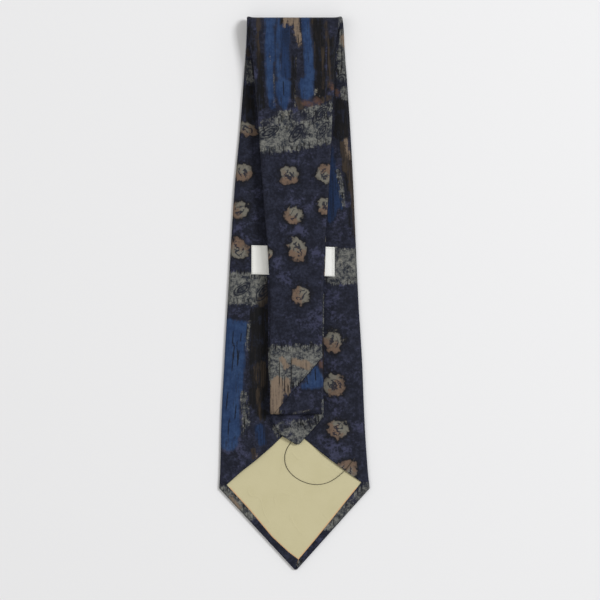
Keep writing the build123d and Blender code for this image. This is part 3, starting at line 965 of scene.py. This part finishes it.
def flaps(station):
    left, right = left_flap(station), right_flap(station)
    closed = left_point(0) + right_point(0)
    tip = straight([(0, closed / 2), (BLADE_LINING_TIP, left_flap(BLADE_LINING_TIP))])
    end = straight([(TAIL_LINING_TIP, left_flap(TAIL_LINING_TIP)), (TAIL_TIP, 1.7)])
    centre = (left + right) / 2
    centre = np.where(station < BLADE_LINING_TIP, tip(station), centre)
    centre = np.where(station > TAIL_LINING_TIP, end(station), centre)
    half = np.where(
        (station < BLADE_LINING_TIP) | (station > TAIL_LINING_TIP), 0, (right - left) / 2
    )
    half = np.maximum(half, SEAM_HALF_GAP)
    return centre - half, centre + half


def seen_ripple(across, station, face):
    """How much each point of the cloth stands proud, in millimetres."""
    on_back = (face < 0) & (station < TOP_FOLD)
    on_top = (face > 0) & (station > FRONT) & (station < RETURN)
    clear = ((np.abs(across) - COVER_HALF_WIDTH) / 6).clip(0, 1)
    clear = np.maximum(clear, ((on_blade(TAIL_TIP_Y - 1) - station) / 6).clip(0, 1))
    size = np.full_like(across, RIPPLE_HIDDEN)
    size = np.where(on_back, RIPPLE_HIDDEN + (RIPPLE_SEEN - RIPPLE_HIDDEN) * clear, size)
    size = np.where(on_top, RIPPLE_SEEN, size)
    size = np.where((face > 0) & (station < FRONT), 0, size)
    stand = size * (ripple(across, station, 34, 3) * 0.7 + ripple(across, station, 11, 8) * 0.3)
    flap_left, flap_right = flaps(station)
    edge = np.where(across < (flap_left + flap_right) / 2, flap_left - across, across - flap_right)
    open_here = on_back & (flap_right - flap_left > 1) & (station > on_blade(-131))
    share = ((BLADE_APEX - station) / (BLADE_APEX - on_blade(-130))).clip(0, 1)
    lift = FLAP_LIFT * np.sin(math.pi * share) ** 0.7 * np.exp(-((edge.clip(0, 40) / 7) ** 2))
    lift = lift * clear * open_here
    return stand + lift


EAR = 0.9


def ears(across, station):
    """How far the two ends of the top fold stand out past its middle."""
    left, right = edges(station)
    inwards = np.minimum(across - left, right - across)
    turned_share = ((station - TOP_FOLD) / (FRONT - TOP_FOLD)).clip(0, 1)
    return EAR * np.exp(-((inwards / 2.6) ** 2)) * np.sin(math.pi * turned_share)


JOIN_FROM, JOIN_TO = on_front(10), on_return(-30)
BLADE_CLOTH_END = join(0)
CLOSE_PITCH = 0.6
CLOSE_ROWS = [(TOP_FOLD, FRONT), (BLADE_CLOTH_END - 14, BLADE_CLOTH_END + 36), (INNER_FOLD, TAIL)]
JOIN_GROOVE = 0.25


def cloth_rows(start, end):
    """Stations of a piece's rows: even on the runs, closer round the folds and at the corners."""
    marks = [start, end, BLADE_CORNER, BLADE_APEX, BLADE_LINING_TIP, TOP_FOLD, FRONT, LOWER_FOLD, RETURN,
             INNER_FOLD, TAIL, TAIL_APEX, TAIL_LINING_TIP, on_blade(-129.8), on_blade(-128), RIGHT_TAIL_CORNER,
             on_tail(-81), 0.15, 0.6, TAIL_TIP - 0.15, TAIL_TIP - 0.6, BLADE_CLOTH_END - 14,
             BLADE_CLOTH_END + 36]
    marks = sorted({m for m in marks if start <= m <= end})
    rows = [start]
    for low, high in zip(marks, marks[1:]):
        pitch = CLOSE_PITCH if any(low >= a and high <= b for a, b in CLOSE_ROWS) else ROW_PITCH
        rows.extend(np.linspace(low, high, max(1, round((high - low) / pitch)) + 1)[1:])
    return np.array(rows)


def cloth_piece(name, start, end, areas, slant=None):
    """A length of the printed tube. slant turns (station, across) into the station really used, and
    areas(station, across, face) gives the parts of the print that the piece shows."""
    rows = cloth_rows(start, end)
    left, right = edges(rows)
    across, depth, face = cross_section(left, right, *flaps(rows), half_thickness(rows))
    station = np.repeat(rows[:, None], across.shape[1], 1)
    if slant:
        station = slant(station, across)
    depth = depth + face * seen_ripple(across, station, face)
    depth -= JOIN_GROOVE * np.exp(-np.abs(station - join(across)) / 0.6) * (face >= 0)
    y, z = path.at(station, depth)
    points = np.stack([across, y + ears(across, station), z], -1)
    faces = grid_faces(*across.shape)[:, ::-1]
    piece = mesh_object(name, points, faces, SILK_CLOTH)
    attribute(piece, "cloth", np.stack([across + 90 * (face < 0), station, 0 * across], -1).reshape(-1, 3))
    fields = {}
    for chosen, x, place, design in areas(station, across, face):
        for key, values in design.fields(x[chosen], place[chosen]).items():
            fields.setdefault(key, np.zeros(across.shape + (3,)))[chosen] = values
    for key, values in fields.items():
        attribute(piece, key, values.reshape(-1, 3))
    return thickened(piece, SILK)


def blade_areas(station, across, face):
    """The blade's back shows its own part of the print; the front's print runs on from the top of
    the front, over the fold and down the underside of the blade, where it comes again."""
    back = (face <= 0) & (station < TOP_FOLD)
    front_y = FRONT + HINGE_Y - station
    under_y = (front_y - HINGE_Y) % FRONT_REPEAT + HINGE_Y - FRONT_REPEAT
    front_y = np.where(station > TOP_FOLD - 12, front_y, under_y)
    return [(back, across, station + TIP_Y, blade_design), (~back, across, front_y, front_design)]


def neck_areas(station, across, face):
    own = station < RETURN
    y = FRONT + HINGE_Y - station
    repeat_y = (y - HINGE_Y) % FRONT_REPEAT + HINGE_Y - FRONT_REPEAT
    return [(own, across, y, neck_design), (~own, across, repeat_y, front_design)]


def tail_areas(station, across, face):
    y = TAIL + HINGE_Y - station
    own = y < -60
    return [(own, across, y, tail_design), (~own, across, y, front_design)]


def to_join(station, across):
    """Rows of the blade's cloth lean over until the last one lies along the join."""
    share = ((station - JOIN_FROM) / (BLADE_CLOTH_END - JOIN_FROM)).clip(0, 1)
    return np.where(station > JOIN_FROM, JOIN_FROM + share * (join(across) - JOIN_FROM), station)


def from_join(station, across):
    """Rows of the neck's cloth start along the join and straighten up."""
    share = ((station - BLADE_CLOTH_END) / (JOIN_TO - BLADE_CLOTH_END)).clip(0, 1)
    return np.where(station < JOIN_TO, join(across) + share * (JOIN_TO - join(across)), station)


blade_cloth = cloth_piece("blade_cloth", 0.0, BLADE_CLOTH_END, blade_areas, to_join)
neck_cloth = cloth_piece("neck_cloth", BLADE_CLOTH_END, TAIL, neck_areas, from_join)
tail_cloth = cloth_piece("tail_cloth", TAIL, TAIL_TIP, tail_areas)


# --- Interlining -----------------------------------------------------------------------------------
CANVAS_BACK, CANVAS_FRONT = -0.05, 0.65  # depths of its two faces within a layer
CANVAS_INSET, CANVAS_COLUMNS = 1.1, 10


def interlining(name, start, end):
    """A strip of felted canvas inside the tube, with softly rounded edges."""
    rows = cloth_rows(start, end)[1:-1]
    left, right = edges(rows)
    room = np.minimum(CANVAS_INSET, 0.3 * (right - left))
    left, right = left + room, right - room
    share = np.linspace(0, 1, CANVAS_COLUMNS)
    face_x = left[:, None] + (right - left)[:, None] * share
    middle = (CANVAS_BACK + CANVAS_FRONT) / 2
    thin = (half_thickness(rows) / HALF_LAYER)[:, None]
    back = middle + (CANVAS_BACK - middle) * thin + 0 * face_x
    front = middle + (CANVAS_FRONT - middle) * thin + 0 * face_x
    side = np.minimum(0.25, room)[:, None]
    across = np.concatenate([face_x, right[:, None] + side, face_x[:, ::-1], left[:, None] - side], 1)
    depth = np.concatenate([front, middle + 0 * side, back, middle + 0 * side], 1)
    y, z = path.at(np.repeat(rows[:, None], across.shape[1], 1), depth)
    count, columns = across.shape
    faces = grid_faces(count, columns, closed=True)[:, ::-1].tolist()
    faces.append(list(range(columns)))
    faces.append([(count - 1) * columns + k for k in reversed(range(columns))])
    return mesh_object(name, np.stack([across, y, z], -1), faces, CANVAS)


blade_canvas = interlining("blade_canvas", 1.0, FRONT + 6)
neck_canvas = interlining("neck_canvas", FRONT + 6, TAIL)
tail_canvas = interlining("tail_canvas", TAIL, TAIL_TIP - 1.0)


# --- Lining of the points --------------------------------------------------------------------------
LINING_TUCK = 3.2  # lining under the flaps and hems
LINING_DROP = 0.2
LINING_SAG = 0.25  # it dips towards the flaps, which stand up off it


def lining(name, apex, tip, depth, crease):
    """A lining seen through the back's opening, tucked under the cloth all round."""
    low, high = min(apex, tip), max(apex, tip)
    rows = np.linspace(low - LINING_TUCK, high + LINING_TUCK, round((high - low) / 1.1))
    inside = rows.clip(low, high)
    left, right = flaps(inside)
    past = np.abs(rows - inside) / LINING_TUCK
    tuck = LINING_TUCK * np.sqrt(1 - past**2 * 0.98)
    share = np.linspace(-1, 1, 81)
    middle, half = (left + right) / 2, (right - left) / 2
    across = middle[:, None] + share * (half + tuck)[:, None]
    station = np.repeat(rows[:, None], len(share), 1)
    under = ((np.abs(across - middle[:, None]) - half[:, None]) / LINING_TUCK + 0.35).clip(0, 1)
    under = np.maximum(under, past[:, None])
    slope = ((np.abs(across - middle[:, None]) - half[:, None]) / 9 + 1).clip(0, 1)
    slope = LINING_SAG * slope**2 * (station > on_blade(-131)) * (station < on_blade(-88))
    soft = ripple(across, station, 38, 21) * 0.6 + ripple(across, station, 13, 5) * 0.22
    stand = crease * soft * (1 - under)
    y, z = path.at(station, depth + LINING_DROP * under + slope - stand)
    faces = grid_faces(*across.shape)[:, ::-1]
    piece = mesh_object(name, np.stack([across, y, z], -1), faces, LINING_CLOTH)
    # How far in from the flaps' edges, for the painted highlight line along the blade point's lower hems;
    # elsewhere set far off, so none is painted.
    inwards = (half[:, None] - np.abs(across - middle[:, None])) * 0.72
    attribute(piece, "rim", np.where(station < on_blade(-131), inwards, 9).ravel())
    return thickened(piece, 0.15)


LINING_DEPTH = -HALF_LAYER + 0.6
blade_lining = lining("blade_lining", BLADE_APEX, BLADE_LINING_TIP, LINING_DEPTH, 0.16)
tail_lining = lining("tail_lining", TAIL_APEX, TAIL_LINING_TIP, LINING_DEPTH, 0.05)


# --- Keeper ----------------------------------------------------------------------------------------
def keeper_ribbon():
    """A blank woven ribbon, sewn down at both ends, that stands up to let the tail pass under it."""
    lying, standing = LAYER + 0.12, keeper_high.z - 0.12
    height = smooth(
        [
            (keeper_low.x, lying),
            (keeper_low.x + 2.2, lying + 0.1),
            (keeper_low.x + 6.5, lying + 1.5),
            (keeper_low.x + 10.5, standing - 0.25),
            (keeper_low.x + 14, standing),
            (keeper_high.x - 9, standing),
            (keeper_high.x - 5.5, standing - 0.6),
            (keeper_high.x - 2.6, lying + 0.25),
            (keeper_high.x, lying),
        ]
    )
    top = straight([(keeper_low.x, keeper_high.y + 0.3), (keeper_high.x, keeper_high.y - 0.9)])
    bottom = straight([(keeper_low.x, keeper_low.y + 0.6), (keeper_high.x, keeper_low.y - 0.9)])
    across = np.linspace(keeper_low.x, keeper_high.x, 120)[None, :] + np.zeros((27, 1))
    share = np.linspace(0, 1, 27)[:, None]
    y = bottom(across) + (top(across) - bottom(across)) * share
    bow = 0.12 * np.sin(math.pi * share) * (height(across) - lying).clip(0, 1)
    z = height(across) + bow + 0.05 * ripple(across, y, 9, 31)
    piece = mesh_object("keeper_ribbon", np.stack([across, y, z], -1), grid_faces(27, 120), RIBBON)
    return thickened(piece, 0.35), height, bottom, top


keeper, keeper_height, keeper_bottom, keeper_top = keeper_ribbon()


# --- Stitches ----------------------------------------------------------------------------------------
def stitch_tree():
    """A Geometry Nodes tree that sews a line of stitches along a curve: each stitch is a short thread
    with rounded ends, lying along the curve."""
    tree = bpy.data.node_groups.new("stitches along a line", "GeometryNodeTree")
    face = tree.interface
    face.new_socket("Geometry", in_out="INPUT", socket_type="NodeSocketGeometry")
    for name in ("Pitch", "Stitch length", "Thread radius"):
        face.new_socket(name, in_out="INPUT", socket_type="NodeSocketFloat")
    face.new_socket("Turn", in_out="INPUT", socket_type="NodeSocketFloat")
    face.new_socket("Thread", in_out="INPUT", socket_type="NodeSocketMaterial")
    face.new_socket("Geometry", in_out="OUTPUT", socket_type="NodeSocketGeometry")

    def add(kind, **settings):
        node = tree.nodes.new(kind)
        for key, value in settings.items():
            setattr(node, key, value)
        return node

    def link(source, output, target, socket):
        tree.links.new(source.outputs[output], target.inputs[socket])

    given = add("NodeGroupInput")
    even = add("GeometryNodeResampleCurve")
    even.mode = "LENGTH"
    link(given, "Geometry", even, "Curve")
    link(given, "Pitch", even, "Length")
    tangent = add("GeometryNodeInputTangent")
    lie = add("FunctionNodeAlignEulerToVector", axis="X")
    link(tangent, 0, lie, "Vector")
    turned = add("ShaderNodeCombineXYZ")
    link(given, "Turn", turned, "Z")
    rotate = add("FunctionNodeRotateEuler", rotation_type="EULER")
    link(lie, 0, rotate, "Rotation")
    link(turned, 0, rotate, "Rotate By")
    ball = add("GeometryNodeMeshIcoSphere")
    ball.inputs["Subdivisions"].default_value = 2
    ball.inputs["Radius"].default_value = 1.0
    half = add("ShaderNodeMath", operation="MULTIPLY")
    half.inputs[1].default_value = 0.5
    link(given, "Stitch length", half, 0)
    stretch = add("ShaderNodeCombineXYZ")
    link(half, 0, stretch, "X")
    link(given, "Thread radius", stretch, "Y")
    link(given, "Thread radius", stretch, "Z")
    place = add("GeometryNodeInstanceOnPoints")
    link(even, 0, place, "Points")
    link(ball, "Mesh", place, "Instance")
    link(rotate, 0, place, "Rotation")
    link(stretch, 0, place, "Scale")
    real = add("GeometryNodeRealizeInstances")
    link(place, 0, real, 0)
    thread = add("GeometryNodeSetMaterial")
    link(real, 0, thread, "Geometry")
    link(given, "Thread", thread, "Material")
    result = add("NodeGroupOutput")
    link(thread, 0, result, "Geometry")
    return tree


STITCH_TREE = stitch_tree()


def stitches(name, lines, pitch, length, radius, thread, turn=0.0):
    """Stitches along each of some lines of points, as one plain mesh."""
    curve = bpy.data.curves.new(name, "CURVE")
    curve.dimensions = "3D"
    for line in lines:
        spline = curve.splines.new("POLY")
        spline.points.add(len(line) - 1)
        for point, place in zip(spline.points, line):
            point.co = (*(c * MM for c in place), 1)
    line_object = bpy.data.objects.new(name, curve)
    bpy.context.scene.collection.objects.link(line_object)
    sew = line_object.modifiers.new("sew", "NODES")
    sew.node_group = STITCH_TREE
    values = {"Pitch": pitch * MM, "Stitch length": length * MM, "Thread radius": radius * MM,
              "Turn": turn, "Thread": thread}
    for item in STITCH_TREE.interface.items_tree:
        if item.in_out == "INPUT" and item.name in values:
            sew[item.identifier] = values[item.name]
    return settled(line_object)


def seam_line(start, end, depth):
    """Points along the closed back seam."""
    rows = np.linspace(start, end, max(2, round((end - start) / 4)))
    left, right = flaps(rows)
    y, z = path.at(rows, depth + 0 * rows)
    return list(zip((left + right) / 2, y, z))


SEAM_DEPTH = -HALF_LAYER + 0.12
SLIP = {"pitch": 9.0, "length": 4.2, "radius": 0.16, "thread": DARK_THREAD}
blade_slip = stitches("blade_slip_stitches", [seam_line(BLADE_APEX + 5, TOP_FOLD - 2, SEAM_DEPTH)], **SLIP)
front_slip = stitches("front_slip_stitches", [seam_line(FRONT + 2, LOWER_FOLD - 2, SEAM_DEPTH),
                                              seam_line(RETURN + 2, INNER_FOLD - 2, SEAM_DEPTH)], **SLIP)
tail_slip = stitches("tail_slip_stitches", [seam_line(TAIL + 2, TAIL_APEX - 5, SEAM_DEPTH)], **SLIP)


def bar_tack(name, station):
    """A dense row of stitches across the end of the seam."""
    left, right = flaps(np.array([station]))
    centre = float(left[0] + right[0]) / 2
    y, z = path.at(np.array([station]), np.array([-HALF_LAYER - 0.02]))
    line = [(centre - 2.6, float(y[0]), float(z[0])), (centre + 2.6, float(y[0]), float(z[0]))]
    return stitches(name, [line], 0.34, 1.5, 0.15, DARK_THREAD, math.pi / 2)


blade_tack = bar_tack("blade_tack", BLADE_APEX + 2.1)
tail_tack = bar_tack("tail_tack", TAIL_APEX - 2.1)


def join_stitches():
    """The machine stitches of the diagonal join, sunk between the two cloths."""
    line = []
    for across in np.linspace(-13, 16.6, 12):
        y, z = path.at(np.array([join(across)]), np.array([HALF_LAYER - 0.2]))
        line.append((across, float(y[0]), float(z[0])))
    return stitches("join_stitches", [line], 2.0, 1.5, 0.12, DARK_THREAD)


join_thread = join_stitches()


def keeper_border():
    """Fine white stitches round the inside of each sewn end."""
    inset = 0.9
    lines = []
    for outer, inner in ((keeper_low.x + inset, keeper_low.x + 6), (keeper_high.x - inset, keeper_high.x - 5)):
        low, high = float(keeper_bottom(outer)) + inset, float(keeper_top(outer)) - inset
        corners = [(inner, low), (outer, low), (outer, high), (inner, high)]
        for (x0, y0), (x1, y1) in zip(corners, corners[1:]):
            steps = [k / 8 for k in range(9)]
            line = [(x0 + (x1 - x0) * k, y0 + (y1 - y0) * k) for k in steps]
            lines.append([(x, y, float(keeper_height(x)) + 0.17) for x, y in line])
    return stitches("keeper_stitches", lines, 1.5, 1.15, 0.14, WHITE_THREAD)


keeper_stitches = keeper_border()


# --- Loose end of thread -----------------------------------------------------------------------------
THREAD_ON_LINING = LAYER - 0.4 + 0.22
THREAD_ON_FLAP = LAYER + 1.2
THREAD_ROUTE = [
    (0.4, -92.2, THREAD_ON_LINING),
    (-1.4, -99.2, THREAD_ON_LINING),
    (-6.6, -106.4, THREAD_ON_LINING),
    (-7.3, -114.8, THREAD_ON_LINING),
    (-3.6, -121.8, THREAD_ON_LINING),
    (3.6, -127.2, THREAD_ON_LINING),
    (12.6, -130.0, THREAD_ON_LINING),
    (21.6, -129.0, THREAD_ON_LINING),
    (29.2, -124.4, THREAD_ON_FLAP),
    (35.6, -118.4, THREAD_ON_FLAP),
    (40.6, -111.6, THREAD_ON_FLAP),
]
THREAD_DIAMETER = 0.4


def loose_end():
    curve = bpy.data.curves.new("loose_thread_end", "CURVE")
    curve.dimensions = "3D"
    spline = curve.splines.new("NURBS")
    spline.points.add(len(THREAD_ROUTE) - 1)
    for point, place in zip(spline.points, THREAD_ROUTE):
        point.co = (*(c * MM for c in place), 1)
    spline.order_u = 3
    spline.use_endpoint_u = True
    spline.resolution_u = 12
    curve.bevel_depth = THREAD_DIAMETER / 2 * MM
    curve.bevel_resolution = 3
    curve.use_fill_caps = True
    curve.materials.append(LOOSE_THREAD)
    made = bpy.data.objects.new("loose_thread_end", curve)
    bpy.context.scene.collection.objects.link(made)
    return made


loose = loose_end()


def bends_at_hinge(piece):
    """Bakes the piece's placement into its mesh; its folds are already in its shape."""
    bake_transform(piece)


bends_at_hinge(blade_cloth)
bends_at_hinge(blade_canvas)
bends_at_hinge(neck_cloth)
bends_at_hinge(neck_canvas)
for piece in (tail_cloth, tail_canvas, tail_slip):
    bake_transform(piece)
for piece in (blade_lining, keeper, keeper_stitches, blade_slip, blade_tack, loose):
    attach(piece, "blade")
for piece in (front_slip, join_thread):
    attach(piece, "front")
for piece in (tail_lining, tail_tack):
    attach(piece, "tail")

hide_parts("blade_shell", "blade_shell_front", "top_fold_shell")
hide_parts("neck_shell", "inner_fold_shell")
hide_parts("tail_shell")
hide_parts("blade_interlining", "top_fold_interlining")
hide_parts("neck_interlining", "inner_fold_interlining")
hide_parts("tail_interlining")
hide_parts("blade_tipping")
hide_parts("tail_tipping")
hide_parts("keeper_loop")
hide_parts("keeper_stitching")
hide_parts("blade_slip_stitch")
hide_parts("neck_slip_stitch")
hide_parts("tail_slip_stitch")
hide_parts("blade_bar_tack")
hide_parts("tail_bar_tack")
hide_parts("neck_seam_stitching")
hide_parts("loose_thread")


# --- What the cloths were cut to -------------------------------------------------------------------------
def tube_width(station):
    """Cloth round the tube at a station, turned-in edges included."""
    left, right = edges(station)
    flap_left, flap_right = flaps(station)
    return 2 * (right - left) - (flap_right - flap_left) + 2 * HEM_RETURN


def cut_sheet(piece, width_at, start, end, **facts):
    length, width = end - start, float(width_at(np.linspace(start, end, 200)).max())
    width * MM
    length * MM
    area_m2(width_at, start, end)


def layer_width(station):
    left, right = edges(station)
    return right - left


def lining_width(station):
    left, right = flaps(station)
    return right - left + 2 * LINING_TUCK


cut_sheet(blade_cloth, tube_width, 0, BLADE_CLOTH_END, held="folded", rests_on=["blade_interlining"])
cut_sheet(neck_cloth, tube_width, BLADE_CLOTH_END, TAIL, held="folded", rests_on=["neck_interlining"])
cut_sheet(tail_cloth, tube_width, TAIL, TAIL_TIP, held="folded", rests_on=["tail_interlining"])
cut_sheet(blade_canvas, layer_width, 0, FRONT, held="folded", rests_on=["blade_shell"])
cut_sheet(neck_canvas, layer_width, FRONT, TAIL, held="folded", rests_on=["neck_shell"])
cut_sheet(tail_canvas, layer_width, TAIL, TAIL_TIP, held="laid", rests_on=["tail_shell"])
cut_sheet(blade_lining, lining_width, BLADE_LINING_TIP, BLADE_APEX, held="laid", rests_on=["blade_interlining"])
cut_sheet(tail_lining, lining_width, TAIL_APEX, TAIL_LINING_TIP, held="laid", rests_on=["tail_interlining"])


# --- Floor, light and camera ---------------------------------------------------------------------------
def studio_floor():
    size = 4000.0
    points = np.array([(-size, -size, 0), (size, -size, 0), (size, size, 0), (-size, size, 0)], float)
    paint = Paint("studio floor", {"Roughness": 0.9, "Specular IOR Level": 0.1})
    paint.shader.inputs["Base Color"].default_value = srgb(229, 229, 230)
    floor = mesh_object("studio_floor", points, [(0, 1, 2, 3)], paint.material)


def area_light(name, place, size, power, tint):
    """A square light, a metre size and place, that faces the tie."""
    light = bpy.data.lights.new(name, "AREA")
    light.shape = "SQUARE"
    light.size, light.energy, light.color = size, power, tint
    made = bpy.data.objects.new(name, light)
    made.location = place
    direction = made.location.copy()
    made.rotation_euler = direction.to_track_quat("Z", "Y").to_euler()
    bpy.context.scene.collection.objects.link(made)


studio_floor()
area_light("key_light", (1.9, 0.8, 2.4), 0.9, 62.0, (0.975, 0.985, 1.0))
area_light("fill_light", (-1.6, 0.0, 2.2), 1.6, 12.0, (1.0, 0.975, 0.94))
world = bpy.data.worlds.new("studio")
bpy.context.scene.world = world
world.use_nodes = True
world.node_tree.nodes["Background"].inputs["Color"].default_value = (1.0, 0.995, 0.985, 1)
world.node_tree.nodes["Background"].inputs["Strength"].default_value = 0.5
bpy.context.scene.view_settings.view_transform = "Standard"

CAMERA_HEIGHT, FRAME_WIDTH = 1300.0, 408.0
VIEW_CENTRE = (3.4, -4.1)
camera_data = bpy.data.cameras.new("camera")
camera_data.sensor_fit = "HORIZONTAL"
camera_data.angle = 2 * math.atan(FRAME_WIDTH / 2 / (CAMERA_HEIGHT - LAYER))
camera_data.clip_start = 0.05
camera = bpy.data.objects.new("camera", camera_data)
camera.location = (VIEW_CENTRE[0] * MM, VIEW_CENTRE[1] * MM, CAMERA_HEIGHT * MM)
bpy.context.scene.collection.objects.link(camera)
bpy.context.scene.camera = camera
